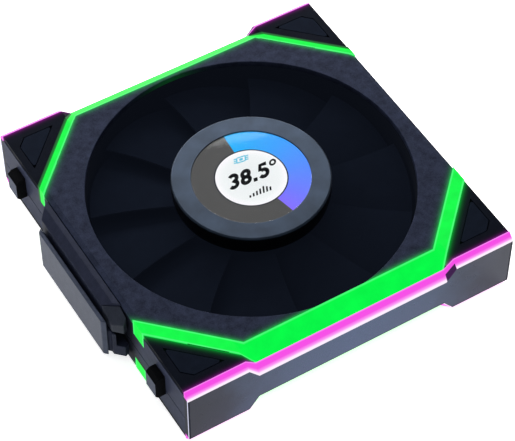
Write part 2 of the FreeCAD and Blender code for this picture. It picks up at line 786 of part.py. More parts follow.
def coil(angle):
    """Winding round one tooth."""
    outer_half = f"({TOOTH_HALF} + {COIL_THICK})"
    body = new_body("coil")
    low, high = f"{CORE_LOW} - {COIL_THICK}", f"{CORE_HIGH} + {COIL_THICK}"
    along_x(body, [(f"-{outer_half}", low), (outer_half, low), (outer_half, high), (f"-{outer_half}", high)],
            COIL_INNER, COIL_OUTER)
    hollow_box(body, (COIL_INNER, f"-{TOOTH_HALF}", CORE_LOW), (COIL_OUTER, TOOTH_HALF, CORE_HIGH))
    body.Placement = Placement(Vector(0, 0, 0), Rotation(Vector(0, 0, 1), angle))
    return body


def post():
    """Hollow post with a foot collar under the motor base."""
    body = new_body("center_post")
    top = "dims.head_low + 1"
    turned(body, [("dims.post_bore", "0.8"), ("dims.post_radius + 1.6", "0.8"),
                  ("dims.post_radius + 1.6", "dims.base_low"), ("dims.post_radius", "dims.base_low"),
                  ("dims.post_radius", top), ("dims.post_bore", top)])
    keep(body, "center_post")


# ---------------------------------------------------------------- rotor


BLADE_EDGE = 0.8
BLADE_TIP_HALF = 0.25


def blade_section(sketch, half_chord, low, high, lean, camber, thick):
    """Curved section across a blade: two arcs between the leading and trailing edges."""
    start = Vector(lean - half_chord, low, 0)
    end = Vector(lean + half_chord, high, 0)
    chord = end - start
    normal = Vector(-chord.y, chord.x, 0).normalize()
    middle = (start + end) * 0.5 + normal * camber
    edge = normal * BLADE_TIP_HALF
    upper = Part.Arc(start + edge, middle + normal * thick / 2, end + edge)
    lower = Part.Arc(end - edge, middle - normal * thick / 2, start - edge)
    front = Part.LineSegment(end + edge, end - edge)
    back = Part.LineSegment(start - edge, start + edge)
    ids = sketch.addGeometry([upper, front, lower, back], False)
    for number in ids:
        sketch.addConstraint(Sketcher.Constraint("Block", number))


def impeller():
    """Hub and swept blades in one moulding, open at the rear for the motor."""
    body = new_body("impeller")
    blade_low = size("dims.hub_low") + 0.6
    blade_high = size("dims.hub_high") - BLADE_EDGE
    turned(body, [("12", "dims.hub_high - dims.hub_roof"), ("dims.hub_radius", "dims.hub_low"),
                  ("dims.hub_radius", "dims.hub_high"), ("12", "dims.hub_high")])
    stations = [
        # x, half chord, lean, camber, thickness, drop of the leading edge
        (19.0, 10.2, 0.0, 0.8, 1.8, 0.0),
        (30.0, 14.2, 1.0, 1.6, 1.6, 0.0),
        (42.0, 18.0, 3.4, 2.2, 1.4, 0.3),
        (55.0, 23.4, 7.5, 2.6, 1.2, 0.8),
    ]
    sketches = []
    for x, half_chord, lean, camber, thick, drop in stations:
        sketch = sketch_on(body, "YZ_Plane", str(x))
        blade_section(sketch, half_chord, blade_low + drop + BLADE_EDGE, blade_high - drop - BLADE_EDGE,
                      lean, camber, thick)
        sketches.append(sketch)
    loft = body.newObject("PartDesign::AdditiveLoft", "blade")
    loft.Profile = sketches[0]
    loft.Sections = sketches[1:]
    doc.recompute()
    pattern(body, loft, "dims.blade_count")
    outside = "dims.blade_tip + 12"
    turned(body, [("dims.blade_tip", "0"), (outside, "0"), (outside, "dims.depth"),
                  ("dims.blade_tip", "dims.depth")], cutting=True)
    inner = "dims.hub_radius - dims.hub_wall"
    roof = "dims.hub_high - dims.hub_roof"
    turned(body, [("0", "0"), (inner, "0"), (inner, roof), ("0", roof)], cutting=True)
    turned(body, [("dims.bearing_outer", "dims.hub_low + 0.4"),
                  ("dims.bearing_outer + 1.1", "dims.hub_low + 0.4"),
                  ("dims.bearing_outer + 1.1", roof), ("13", roof), ("13", "dims.hub_high"),
                  ("dims.bearing_outer", "dims.hub_high")])
    keep(body, "impeller")


def rotor_metal():
    """Steel yoke, magnet ring, the two bearings and the clip that keeps them on the post."""
    inner = "dims.hub_radius - dims.hub_wall"
    roof = "dims.hub_high - dims.hub_roof"
    yoke = new_body("rotor_yoke")
    turned(yoke, [(f"{inner} - 0.9", "dims.hub_low"), (inner, "dims.hub_low"), (inner, roof),
                  ("dims.bearing_outer + 1.6", roof), ("dims.bearing_outer + 1.6", f"{roof} - 0.8"),
                  (f"{inner} - 0.9", f"{roof} - 0.8")])
    keep(yoke, "rotor_yoke")
    ring("magnet_ring", f"{inner} - 3.3", f"{inner} - 0.9", "dims.hub_low + 0.4", f"{roof} - 1.6")
    bore = "dims.post_radius + dims.bearing_fit"
    ring("rear_bearing", bore, "dims.bearing_outer", "dims.hub_low + 0.6", "dims.hub_low + 5")
    ring("front_bearing", bore, "dims.bearing_outer", f"{roof} - 4.2", f"{roof} + 0.2")
    ring("retaining_clip", "dims.post_radius", "dims.post_radius + 2", f"{roof} + 0.5", f"{roof} + 1.1")


# ---------------------------------------------------------------- display head

BOARD_LOW = "23.6"
BOARD_HIGH = "24.6"
BOARD_RADIUS = "22"
BOARD_SCREW_RADIUS = "18"
PANEL_LOW = "25.2"


def display_head():
    """Round display on top of the post: carrier, board, panel, lens and bezel."""
    inner = "dims.head_radius - dims.skirt"
    floor_low = "dims.head_low - 0.2"
    floor_high = "dims.head_low + 1"
    carrier = new_body("display_carrier")
    turned(carrier, [("dims.post_radius", floor_low), (inner, floor_low), (inner, "25.2"),
                     (f"{inner} - 1.6", "25.2"), (f"{inner} - 1.6", floor_high),
                     ("dims.post_radius", floor_high)])
    spots = [(f"{BOARD_SCREW_RADIUS} * cos({angle}deg)", f"{BOARD_SCREW_RADIUS} * sin({angle}deg)")
             for angle in (30, 150, 270)]
    bosses = sketch_on(carrier, "XY_Plane", floor_high)
    for x, y in spots:
        circle(bosses, x, y, "2.2")
    pad(carrier, bosses, f"{BOARD_LOW} - ({floor_high})")
    drill(carrier, spots, "0.8", f"{floor_high} - 0.4", BOARD_LOW)
    keep(carrier, "display_carrier")
    board = new_body("display_board")
    sketch = sketch_on(board, "XY_Plane", BOARD_LOW)
    circle(sketch, "0", "0", BOARD_RADIUS)
    pad(board, sketch, f"{BOARD_HIGH} - {BOARD_LOW}")
    drill(board, spots, "0.8", BOARD_LOW, BOARD_HIGH)
    keep(board, "display_board")
    screws = []
    for x, y in spots:
        parts = []
        for radius, low, high in (("0.8", f"{floor_high} - 0.4", BOARD_HIGH),
                                  ("1.5", BOARD_HIGH, f"{BOARD_HIGH} + 0.5")):
            bar = doc.addObject("Part::Cylinder", "screw_bar")
            bar.setExpression("Radius", radius)
            bar.setExpression("Height", f"{high} - ({low})")
            bar.setExpression("Placement.Base.x", x)
            bar.setExpression("Placement.Base.y", y)
            bar.setExpression("Placement.Base.z", low)
            parts.append(bar)
        screws.append(fuse("screw", parts))
    keep(group("display_screws", screws), "display_screws")
    lens_high = "dims.head_high - dims.lens_sink"
    lens_low = f"{lens_high} - dims.lens_deep"
    disc("display_panel", "dims.window_radius + 1.4", PANEL_LOW, lens_low)
    disc("display_lens", "dims.window_radius", lens_low, lens_high)
    bezel = new_body("display_bezel")
    rim = "0.45"
    turned(bezel, [(inner, "dims.head_low"), ("dims.head_radius - 0.5", "dims.head_low"),
                   ("dims.head_radius", "dims.head_low + 2.4"), ("dims.head_radius", f"dims.head_high - {rim}"),
                   (f"dims.head_radius - {rim}", "dims.head_high"), ("dims.window_radius", "dims.head_high"),
                   ("dims.window_radius", lens_low), ("dims.window_radius + 1.4", lens_low),
                   ("dims.window_radius + 1.4", "26"), (inner, "26")])
    keep(bezel, "display_bezel")
    ribbon = new_body("display_ribbon")
    upright(ribbon, [("-1.8", "-0.2"), ("1.8", "-0.2"), ("1.8", "0.2"), ("-1.8", "0.2")], "1.2", BOARD_LOW)
    keep(ribbon, "display_ribbon")


# ---------------------------------------------------------------- connector module

SOCKET_LOW = "8.6"
SOCKET_FAR = "63.8"
SOCKET_END = "-17"
CREST = "1.8"
FOOT_BACK = "1.2"
CORNER_FAR = ("-61.9", "-25.7")
CORNER_NEAR = ("-60.4", "-24.9")
CHANNEL_NEAR = "61.8"
CHANNEL_FAR = "64"
CHANNEL_START = "-20"
CHANNEL_END = "-13.5"
TONGUE_LOW = "17.2"
TONGUE_HIGH = "19.2"
LATCH_ROOM = "0.2"
LATCH_FALL_X = 0.905
LATCH_FALL_Y = 0.532
LATCH_CUTTER = 30.0
BOARD_START = "-15"
BOARD_END = "20"
BOARD_FOOT = "5"
BOARD_TOP = "16.5"
BOARD_ROOM = "0.2"
MODULE_REACH = "34"


def trim_ends(body, depth_out):
    """Cut the module's two ends on the diagonals."""
    wall = "dims.pitch / 2"
    tip = f"{wall} + {depth_out}"
    low, high = "0", "dims.depth"
    for side, total in ((-1, "dims.module_sum_low"), (1, "dims.module_sum_high")):
        sketch = sketch_on(body, "XY_Plane", low)
        polygon(sketch, [(f"-({wall} - 1)", f"{side} * ({total} - {wall} + 1)"),
                         (f"-({tip} + 1)", f"{side} * ({total} - ({tip}) - 1)"),
                         (f"-({tip} + 1)", f"{side} * 40"), (f"-({wall} - 1)", f"{side} * 40")])
        pocket(body, sketch, high)


def cut_below(body, first, second, floor):
    """Cut away what lies past the line through two points in the plan, towards -Y, above `floor`."""
    sketch = sketch_on(body, "XY_Plane", floor)
    polygon(sketch, [first, second, (second[0], f"-{MODULE_REACH}"), (first[0], f"-{MODULE_REACH}")])
    pocket(body, sketch, "dims.depth")


def module_body():
    """Module's moulding: sloping top, foot under the slot, latch seat, cable socket, two lugs."""
    wall = "dims.pitch / 2"
    near = f"-({wall} + dims.module_gap)"
    crest = f"-({wall} + dims.module_gap + {CREST})"
    brow = f"-({wall} + dims.module_body)"
    foot = f"-({wall} + dims.module_shelf)"
    body = new_body("module_body")
    along_y(body, [(near, "dims.module_low"), (near, "dims.module_high"), (crest, "dims.module_high"),
                   (brow, "dims.module_brow"), (brow, "dims.slot_floor"), (foot, "dims.slot_floor"),
                   (foot, "dims.module_low")], f"-{MODULE_REACH}", MODULE_REACH)
    trim_ends(body, "dims.module_shelf")
    room = f"(dims.latch_sum - {LATCH_ROOM})"
    cut_below(body, (near, f"-({room} + ({near}))"), (foot, f"-({room} + ({foot}))"), "dims.latch_seat")
    back = f"(dims.module_sum_low - {FOOT_BACK})"
    beyond = f"({foot} - 1)"
    cut_below(body, (brow, f"-({back} + ({brow}))"), (beyond, f"-({back} + {beyond})"), "0")
    cut_below(body, CORNER_FAR, (near, CORNER_NEAR[1]), "0")
    hollow_box(body, (f"-{SOCKET_FAR}", f"-{MODULE_REACH}", SOCKET_LOW), (near, SOCKET_END, "dims.latch_seat"))
    hollow_box(body, (f"-{CHANNEL_FAR}", CHANNEL_START, "dims.latch_seat"),
               (f"-{CHANNEL_NEAR}", CHANNEL_END, f"{TONGUE_HIGH} + {LATCH_ROOM}"))
    hollow_box(body, (f"{near} - 1.2", BOARD_START, BOARD_FOOT), (near, BOARD_END, BOARD_TOP))
    for middle in LUG_SPOTS:
        lug = [(f"{middle} - {LUG_HALF}", LUG_LOW), (f"{middle} + {LUG_HALF}", LUG_LOW),
               (f"{middle} + {LUG_HALF}", LUG_HIGH), (f"{middle} - {LUG_HALF}", LUG_HIGH)]
        start = f"{near} - 1.2" if middle > 0 else near
        along_x(body, lug, start, f"-({wall} - {LUG_DEEP})")
    keep(body, "module_body")


def module_cover():
    """Outer plate of the module, cut on the diagonals at its ends."""
    wall = "dims.pitch / 2"
    inner = f"({wall} + dims.module_shelf)"
    low = "2.6"
    high = "20"
    start = f"-(dims.module_sum_low - {inner}) - 1"
    end = f"dims.module_sum_high - {inner} + 1"
    body = new_body("module_cover")
    outline = [(start, low), (end, low), (end, high), (start, high)]
    along_x(body, outline, f"-({wall} + dims.module_face)", f"-{inner}")
    trim_ends(body, "dims.module_face")
    keep(body, "module_cover")


def release_latch():
    """Latch over the cable socket: it is pressed down into its seat, guided by a tongue."""
    near = CORNER_NEAR[0]
    far = "-(dims.pitch / 2 + dims.module_body)"
    blank = new_body("latch_blank")
    outline = [(near, f"-(dims.latch_sum + {near})"), CORNER_NEAR, CORNER_FAR,
               (far, f"-(dims.module_sum_low + {far})"), (far, f"-(dims.latch_sum + {far})")]
    upright(blank, outline, f"dims.latch_seat + dims.latch_travel + {LATCH_ROOM}", "dims.depth")
    left, right = f"-({CHANNEL_FAR} - {LATCH_ROOM})", f"-({CHANNEL_NEAR} + {LATCH_ROOM})"
    tongue = [(left, TONGUE_LOW), (right, TONGUE_LOW), (right, TONGUE_HIGH), (left, TONGUE_HIGH)]
    along_y(blank, tongue, f"{CHANNEL_START} - 1", f"{CHANNEL_END} - {LATCH_ROOM}")
    slope = doc.addObject("Part::Box", "latch_slope")
    for side in ("Length", "Width", "Height"):
        setattr(slope, side, LATCH_CUTTER)
    tilt = Rotation(Vector(0, 0, 1), Vector(-LATCH_FALL_X, -LATCH_FALL_Y, 1))
    corner = Vector(size(near), -size(f"dims.latch_sum + {near}"), size("dims.latch_high"))
    centred = Placement(Vector(-LATCH_CUTTER / 2, -LATCH_CUTTER / 2, 0), Rotation())
    slope.Placement = Placement(corner, tilt) * centred
    keep(cut("release_latch", blank, slope), "release_latch")


def latch_spring():
    """Return spring between the floor of the channel and the latch's tongue."""
    coil_radius = 0.55
    wire = 0.14
    slack = 0.02
    length = size(f"{TONGUE_LOW} - dims.latch_seat") - 2 * (wire + slack)
    turns = 5
    helix = Part.makeHelix(length / turns, length, coil_radius)
    section = Part.Wire(Part.makeCircle(wire, Vector(coil_radius, 0, 0), Vector(0, 1, 0)))
    spring = doc.addObject("Part::Feature", "latch_spring")
    spring.Shape = Part.Wire(helix).makePipeShell([section], True, True)
    middle_x = -size(f"({CHANNEL_NEAR} + {CHANNEL_FAR}) / 2")
    middle_y = size(f"{CHANNEL_END} - 2.2")
    foot = size("dims.latch_seat") + wire + slack
    spring.Placement = Placement(Vector(middle_x, middle_y, foot), Rotation())
    keep(spring, "latch_spring")


def module_electrics():
    """Circuit board, the pins that meet the body's contacts, and the cable socket's pins."""
    wall = "dims.pitch / 2"
    near = f"-({wall} + dims.module_gap)"
    rear_face = f"{near} - 1.2"
    board = new_body("module_board")
    start, end = f"{BOARD_START} + {BOARD_ROOM}", "15"
    low, high = f"{BOARD_FOOT} + {BOARD_ROOM}", f"{BOARD_TOP} - {BOARD_ROOM}"
    along_x(board, [(start, low), (end, low), (end, high), (start, high)], rear_face, f"{near} - 0.4")
    keep(board, "module_board")
    spots = [str((number - 3.5) * 1.8) for number in range(8)]
    pins = [pin(f"{near} - 0.4", f"-{wall} - 0.05", spot, PIN_LEVEL, "0.4") for spot in spots]
    keep(group("module_contact_pins", pins), "module_contact_pins")
    posts = []
    thick = "0.4"
    long = "1.4"
    for x in ("-63", "-61.9"):
        for z in ("9.8", "11.3", "12.8"):
            bar = doc.addObject("Part::Box", "socket_pin")
            bar.setExpression("Length", thick)
            bar.setExpression("Width", long)
            bar.setExpression("Height", thick)
            bar.setExpression("Placement.Base.x", f"{x} - {thick} / 2")
            bar.setExpression("Placement.Base.y", f"{SOCKET_END} - {long}")
            bar.setExpression("Placement.Base.z", f"{z} - {thick} / 2")
            posts.append(bar)
    keep(group("socket_pins", posts), "socket_pins")


# ---------------------------------------------------------------- build and write


def build():
    housing(light_guides())
    edge_light_guides()
    mirror_panels()
    side_leds()
    cover_plates()
    cover_screws()
    corner_pieces()
    contact_blocks()
    post()
    ring("motor_board", "dims.tube_outer + 0.2", "dims.base_radius - 1.6", "dims.base_high",
         "dims.base_high + 1")
    stator()
    impeller()
    rotor_metal()
    display_head()
    module_body()
    module_cover()
    release_latch()
    latch_spring()
    module_electrics()
    doc.recompute()


def check():
    for item in doc.Objects:
        if "Invalid" in item.State or "Error" in item.State:
            raise RuntimeError(f"{item.Name} ({item.Label}) failed: {item.State}")
    for item in nodes:
        if item.Shape.isNull() or not item.Shape.isValid() or not item.Shape.Solids:
            raise RuntimeError(f"{item.Label} has no valid shape")


def write():
    os.makedirs("parts", exist_ok=True)
    for item in nodes:
        item.Shape.exportStep(os.path.join("parts", f"{item.Label}.step"))
        box = item.Shape.BoundBox
        print(f"{item.Label:28s} solids {len(item.Shape.Solids):2d} volume {item.Shape.Volume:10.2f} "
              f"x {box.XMin:7.2f} {box.XMax:7.2f} y {box.YMin:7.2f} {box.YMax:7.2f} "
              f"z {box.ZMin:6.2f} {box.ZMax:6.2f}")
    print(len(nodes), "nodes")


build()
check()
write()
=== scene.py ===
"""Looks of a 120 mm case fan with lit edges and a round display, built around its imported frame.

Lengths are in millimetres and MM turns them into Blender's metres.  The origin lies on the fan's axis
in the plane of the rear face: +Z points out of the display side, +X to the reader's right when the
readout is upright and +Y to its top.  The CAD pieces keep their shapes.  This script gives them their
finishes, rounds some of their edges with modifiers, and adds the readout and a clear lens.
"""
import math
import bpy
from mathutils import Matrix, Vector


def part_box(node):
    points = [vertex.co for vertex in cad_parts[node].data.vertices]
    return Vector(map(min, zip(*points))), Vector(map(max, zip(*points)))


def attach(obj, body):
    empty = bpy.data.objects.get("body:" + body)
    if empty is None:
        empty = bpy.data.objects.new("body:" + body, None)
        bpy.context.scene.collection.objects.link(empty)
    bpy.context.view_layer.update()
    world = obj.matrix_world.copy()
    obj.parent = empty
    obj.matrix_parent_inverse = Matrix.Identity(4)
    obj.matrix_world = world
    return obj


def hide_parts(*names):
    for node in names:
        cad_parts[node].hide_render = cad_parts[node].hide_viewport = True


MM = 0.001
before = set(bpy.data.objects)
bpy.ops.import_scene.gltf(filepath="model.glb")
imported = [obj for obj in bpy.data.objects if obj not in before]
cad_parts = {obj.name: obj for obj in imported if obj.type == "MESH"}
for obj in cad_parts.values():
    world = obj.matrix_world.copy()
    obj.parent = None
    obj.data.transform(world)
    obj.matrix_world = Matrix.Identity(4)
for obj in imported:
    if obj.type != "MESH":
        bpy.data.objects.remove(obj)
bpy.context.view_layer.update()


def reach(node, axis):
    """Highest coordinate of a CAD node along an axis, in millimetres."""
    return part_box(node)[1][axis] / MM


def start_of(node, axis):
    """Lowest coordinate of a CAD node along an axis, in millimetres."""
    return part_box(node)[0][axis] / MM


# Sizes read from the frame, in millimetres
HALF = reach("front_light_guide_top", 0)
DEPTH = reach("front_plate", 2)
MIDDLE = DEPTH / 2
PLATE_HALF = -start_of("front_plate", 1)
TOP_SHIFT = reach("front_plate", 1) - PLATE_HALF
STRIP_WIDE = HALF - PLATE_HALF
SIDE_FACE = reach("edge_light_guide_top", 1)
PANEL_END = reach("mirror_panel_top", 0)
PANEL_HIGH = reach("mirror_panel_top", 2)
WINDOW = reach("display_lens", 0)
LENS_TOP = reach("display_lens", 2)
SCREEN = reach("display_panel", 2)
BEZEL_TOP = reach("display_bezel", 2)

# |x| + |y| along the inner and the outer edge of a strip across a bottom corner; the inner edge lies
# TOP_SHIFT further out on the top half
ARM_SUM = HALF - reach("front_light_guide_bottom", 1)
CORNER_SUM = ARM_SUM + STRIP_WIDE

DISPLAY_BODY = "frame"


# ---------------------------------------------------------------- colours and node trees


def tone(red, green, blue):
    """Colour given as 0-255 display values, as the linear colour that shaders take."""
    def linear(value):
        # The sRGB curve, undone
        value = value / 255
        return value / 12.92 if value <= 0.04045 else ((value + 0.055) / 1.055) ** 2.4
    return (linear(red), linear(green), linear(blue), 1.0)


GREEN = tone(2, 250, 72)
GREEN_EDGE = tone(80, 255, 130)
# Colours of the painted glow that the strips seem to throw on the surfaces beside them
PAINTED_GREEN_GLOW = tone(0, 170, 50)[:3]
PAINTED_MAGENTA_GLOW = tone(150, 10, 150)[:3]
WHITE_EDGE = tone(255, 240, 255)
BLACK = tone(5, 6, 9)
# Faint painted glow on the duct and the blades, which evens out their dark tone
PAINTED_DARK_GLOW = tone(9, 12, 19)

DIAGONAL = math.sqrt(2)
FADE_MARGIN = 0.02
NOISE_ROUGHNESS = 0.55

# Limits of normal(): a face turned squarely along an axis, and one that hardly faces it
SQUARE_ON = 0.9
STEEP = 0.3

# A colour mix node's sockets by number, because their names repeat
MIX_FIRST, MIX_SECOND, MIX_RESULT = 6, 7, 2


class Finish:
    """A material under construction, with short ways to add shader nodes to it."""

    def __init__(self, name):
        self.material = bpy.data.materials.new(name)
        self.material.use_nodes = True
        self.tree = self.material.node_tree
        self.bsdf = self.tree.nodes["Principled BSDF"]
        self.place = self.node("ShaderNodeTexCoord").outputs["Object"]
        self.axes = self.node("ShaderNodeSeparateXYZ", {0: self.place}).outputs

    def node(self, kind, inputs=None, **settings):
        """Add a node with those settings and inputs."""
        made = self.tree.nodes.new(kind)
        for key, value in settings.items():
            setattr(made, key, value)
        for key, value in (inputs or {}).items():
            self.feed(made.inputs[key], value)
        return made

    def feed(self, socket, value):
        """Link another node's output to a socket, or give the socket a value."""
        if isinstance(value, bpy.types.NodeSocket):
            self.tree.links.new(value, socket)
        else:
            socket.default_value = value

    def set(self, **values):
        """Set sockets of the surface shader; underscores stand for the spaces in their names."""
        for key, value in values.items():
            self.feed(self.bsdf.inputs[key.replace("_", " ")], value)

    def math(self, operation, first, second=0.0, clamp=False):
        """Result of one operation on one or two values."""
        made = self.node("ShaderNodeMath", {0: first, 1: second}, operation=operation)
        made.use_clamp = clamp
        return made.outputs[0]

    def plus(self, first, second):
        return self.math("ADD", first, second)

    def minus(self, first, second):
        return self.math("SUBTRACT", first, second)

    def divided(self, first, second, clamp=False):
        return self.math("DIVIDE", first, second, clamp)

    def size_of(self, value):
        """The value without its sign."""
        return self.math("ABSOLUTE", value)

    def above(self, value, limit):
        """Mask: 1 where value is greater than limit, else 0."""
        return self.math("GREATER_THAN", value, limit)

    def below(self, value, limit):
        """Mask: 1 where value is less than limit, else 0."""
        return self.math("LESS_THAN", value, limit)

    def times(self, first, *others):
        """Product of values; of masks, the places where all of them hold."""
        for other in others:
            first = self.math("MULTIPLY", first, other)
        return first

    def either(self, first, *others):
        """Largest of values; of masks, the places where any of them holds."""
        for other in others:
            first = self.math("MAXIMUM", first, other)
        return first

    def between(self, value, low, high):
        """Mask: 1 where value lies between low and high, else 0."""
        return self.times(self.above(value, low), self.below(value, high))

    def coordinate(self, axis):
        """Distance along an axis in millimetres."""
        return self.times(self.axes[axis], 1 / MM)

    def distance(self, axis):
        """Distance from the origin along an axis, in millimetres, the same to both sides."""
        return self.size_of(self.coordinate(axis))

    def radius(self):
        """Distance from the fan's axis in millimetres."""
        across = self.coordinate(0)
        along = self.coordinate(1)
        return self.math("SQRT", self.plus(self.times(across, across), self.times(along, along)))

    def normal(self, axis):
        """How squarely the surface faces along an axis, 0 to 1."""
        facing = self.node("ShaderNodeNewGeometry").outputs["True Normal"]
        return self.size_of(self.node("ShaderNodeSeparateXYZ", {0: facing}).outputs[axis])

    def fade(self, distance, length):
        """1 at distance 0, falling off over `length`, and 0 at negative distances."""
        bright = self.math("EXPONENT", self.divided(distance, -length))
        return self.times(bright, self.above(distance, -FADE_MARGIN))

    def blend(self, share, first, second):
        """Mix of two colours: the first at share 0 and the second at share 1."""
        made = self.node("ShaderNodeMix", data_type="RGBA")
        self.feed(made.inputs[0], share)
        self.feed(made.inputs[MIX_FIRST], first)
        self.feed(made.inputs[MIX_SECOND], second)
        return made.outputs[MIX_RESULT]

    def scaled(self, colour, strength):
        """A colour times a strength."""
        made = self.node("ShaderNodeVectorMath", {0: colour}, operation="SCALE")
        self.feed(made.inputs["Scale"], strength)
        return made.outputs[0]

    def added(self, first, second):
        """Sum of two colours."""
        return self.node("ShaderNodeVectorMath", {0: first, 1: second}, operation="ADD").outputs[0]

    def noise(self, feature, detail=3.0, stretch=None):
        """Noise whose features are about `feature` millimetres across."""
        where = self.place
        if stretch:
            where = self.node("ShaderNodeVectorMath", {0: where, 1: stretch}, operation="MULTIPLY").outputs[0]
        return self.node("ShaderNodeTexNoise", {
            "Vector": where, "Scale": 1 / (feature * MM), "Detail": detail,
            "Roughness": NOISE_ROUGHNESS}).outputs["Fac"]

    def spread(self, value, low, high, from_low=0.3, from_high=0.7):
        """Noise, which mostly lies from 0.3 to 0.7, or another value turned into the range low to high."""
        return self.node("ShaderNodeMapRange", {
            "Value": value, "From Min": from_low, "From Max": from_high,
            "To Min": low, "To Max": high}).outputs[0]

    def ramp(self, value, stops):
        """Colour that runs through the stops, given as (position, colour), as the value rises."""
        made = self.node("ShaderNodeValToRGB", {0: value})
        elements = made.color_ramp.elements
        while len(elements) < len(stops):
            elements.new(0.5)
        for element, (position, colour) in zip(elements, stops):
            element.position = position
            element.color = colour
        return made.outputs["Color"]

    def bump(self, feature, depth, stretch=None):
        """Fine relief: features of `feature` millimetres, `depth` millimetres deep."""
        height = self.noise(feature, detail=2.0, stretch=stretch)
        made = self.node("ShaderNodeBump", {"Height": height, "Distance": depth * MM, "Strength": 1.0})
        self.feed(self.bsdf.inputs["Normal"], made.outputs[0])


# ---------------------------------------------------------------- lit strips and the painted glow beside them

# How far the painted glow beside a green and beside a magenta strip reaches
GLOW_REACH = 0.55
PINK_REACH = 0.44

# Green strips: the paler line along their edges, and the limits of what stays unlit
LINE_INSET = 0.25
LINE_WIDE = 0.45
DUCT_REACH = PLATE_HALF + 0.9
DUCT_ACROSS = HALF - 10
REAR_END_LIT = 5.4
TOP_RIM = 1.0
RIM_SPILL = 0.4

# Magenta strips: the slope of the step, which has painted shade, and the white line down each end
STEP_INNER = 34.9
STEP_OUTER = 38.2
STEP_SHARE = 0.45
BAR_LINE = 61.8
BAR_MARGIN = 0.1


def strip_distances(finish):
    """Distances in the plan, in mm: inside the plate to the strip, and inside a corner to the strip."""
    along = finish.distance(1)
    total = finish.plus(finish.distance(0), along)
    shift = finish.times(finish.above(finish.coordinate(1), 0.0), TOP_SHIFT)
    to_arm = finish.divided(finish.minus(finish.plus(shift, ARM_SUM), total), DIAGONAL)
    to_side = finish.minus(finish.plus(shift, PLATE_HALF), along)
    plate_side = finish.math("MINIMUM", to_arm, to_side)
    corner_side = finish.divided(finish.minus(total, CORNER_SUM), DIAGONAL)
    return plate_side, corner_side


def add_painted_glow(finish, plate_share=0.0, corner_share=0.0, side_share=0.0):
    """Painted glow: emission in the surface's own material that stands in for the light the strips throw
    beside them; corners get it on the bottom half only.
    """
    plate_side, corner_side = strip_distances(finish)
    low_half = finish.below(finish.coordinate(1), 0.0)
    in_corner = finish.times(finish.fade(corner_side, GLOW_REACH), low_half, corner_share)
    green = finish.plus(finish.times(finish.fade(plate_side, GLOW_REACH), plate_share), in_corner)
    light = finish.scaled(PAINTED_GREEN_GLOW, green)
    if side_share:
        edge = finish.minus(HALF, finish.distance(1))
        pink = finish.times(finish.fade(edge, PINK_REACH), side_share)
        light = finish.added(light, finish.scaled(PAINTED_MAGENTA_GLOW, pink))
    finish.set(Emission_Color=light, Emission_Strength=1.0)


def green_light():
    """Frosted light guide lit from behind: even green with a paler line along both edges."""
    finish = Finish("green_light")
    across = finish.distance(0)
    plate_side, corner_side = strip_distances(finish)
    inner = finish.times(plate_side, -1.0)
    outer = finish.times(corner_side, -1.0)
    edge = finish.math("MINIMUM", finish.size_of(finish.minus(inner, LINE_INSET)),
                       finish.size_of(finish.minus(outer, LINE_INSET)))
    line = finish.math("SUBTRACT", 1.0, finish.divided(edge, LINE_WIDE), clamp=True)
    cloud = finish.spread(finish.noise(feature=5.0), low=0.92, high=1.04)
    colour = finish.blend(line, GREEN, GREEN_EDGE)
    # Unlit: the upright inner faces, part of the rear ends, and the rim of the top corners' strips
    in_duct = finish.times(finish.below(finish.distance(1), DUCT_REACH), finish.below(across, DUCT_ACROSS),
                           finish.below(finish.normal(2), STEEP))
    rear_end = finish.times(finish.above(finish.normal(0), SQUARE_ON),
                            finish.between(finish.coordinate(2), REAR_END_LIT, MIDDLE))
    rim = finish.times(finish.above(finish.coordinate(1), 0.0), finish.above(across, ARM_SUM - PLATE_HALF),
                       finish.below(outer, TOP_RIM))
    spill = finish.fade(finish.minus(TOP_RIM, outer), GLOW_REACH)
    rim = finish.times(rim, finish.minus(1.0, finish.times(spill, RIM_SPILL)))
    unlit = finish.either(in_duct, rear_end, rim)
    finish.set(Base_Color=BLACK, Roughness=0.45, Specular_IOR_Level=0.04,
               Emission_Color=finish.scaled(colour, cloud), Emission_Strength=finish.minus(1.0, unlit))
    return finish.material


def magenta_light():
    """Bevelled light guide beside a mirror panel: magenta inside, white along its outer edge."""
    finish = Finish("magenta_light")
    height = finish.coordinate(2)
    along = finish.distance(1)
    share = finish.divided(finish.minus(along, HALF), SIDE_FACE - HALF, clamp=True)
    colour = finish.ramp(share, [(0.0, tone(252, 150, 248)), (0.14, tone(247, 72, 230)),
                                 (0.5, tone(245, 78, 228)), (0.72, tone(251, 150, 243)),
                                 (0.88, WHITE_EDGE), (1.0, WHITE_EDGE)])
    end = finish.above(finish.distance(0), PANEL_END)
    front = finish.above(finish.normal(1), SQUARE_ON)
    level = finish.between(height, DEPTH - PANEL_HIGH, PANEL_HIGH)
    side = finish.times(finish.above(finish.normal(0), SQUARE_ON), level)
    bar_side = finish.times(side, finish.between(along, BAR_LINE, SIDE_FACE - BAR_MARGIN))
    colour = finish.blend(bar_side, colour, tone(215, 216, 240))
    # Painted shade on the slope of the right-hand step
    painted_shade_slope = finish.times(finish.between(finish.coordinate(0), STEP_INNER, STEP_OUTER),
                         finish.above(share, STEP_SHARE), finish.above(height, MIDDLE))
    colour = finish.blend(painted_shade_slope, colour, tone(58, 18, 66))
    # Unlit: the bars' outer faces, the lower strips' outer faces, and the ends outside the white line
    bar_front = finish.times(end, front, level)
    low_front = finish.times(front, finish.below(height, MIDDLE))
    unlit = finish.either(bar_front, low_front, finish.minus(side, bar_side))
    finish.set(Base_Color=tone(30, 34, 48), Roughness=0.45, Specular_IOR_Level=0.04, Emission_Color=colour,
               Emission_Strength=finish.minus(1.0, unlit))
    return finish.material


# ---------------------------------------------------------------- finishes, one per material slot

# Share of the wide patches in a moulded colour, and feature sizes of the patterns
MOTTLE_SHARE = 0.55
PLASTIC_GRAIN = 0.35
PLAIN_PATCH = 1.5
PLAIN_GRAIN = 0.45
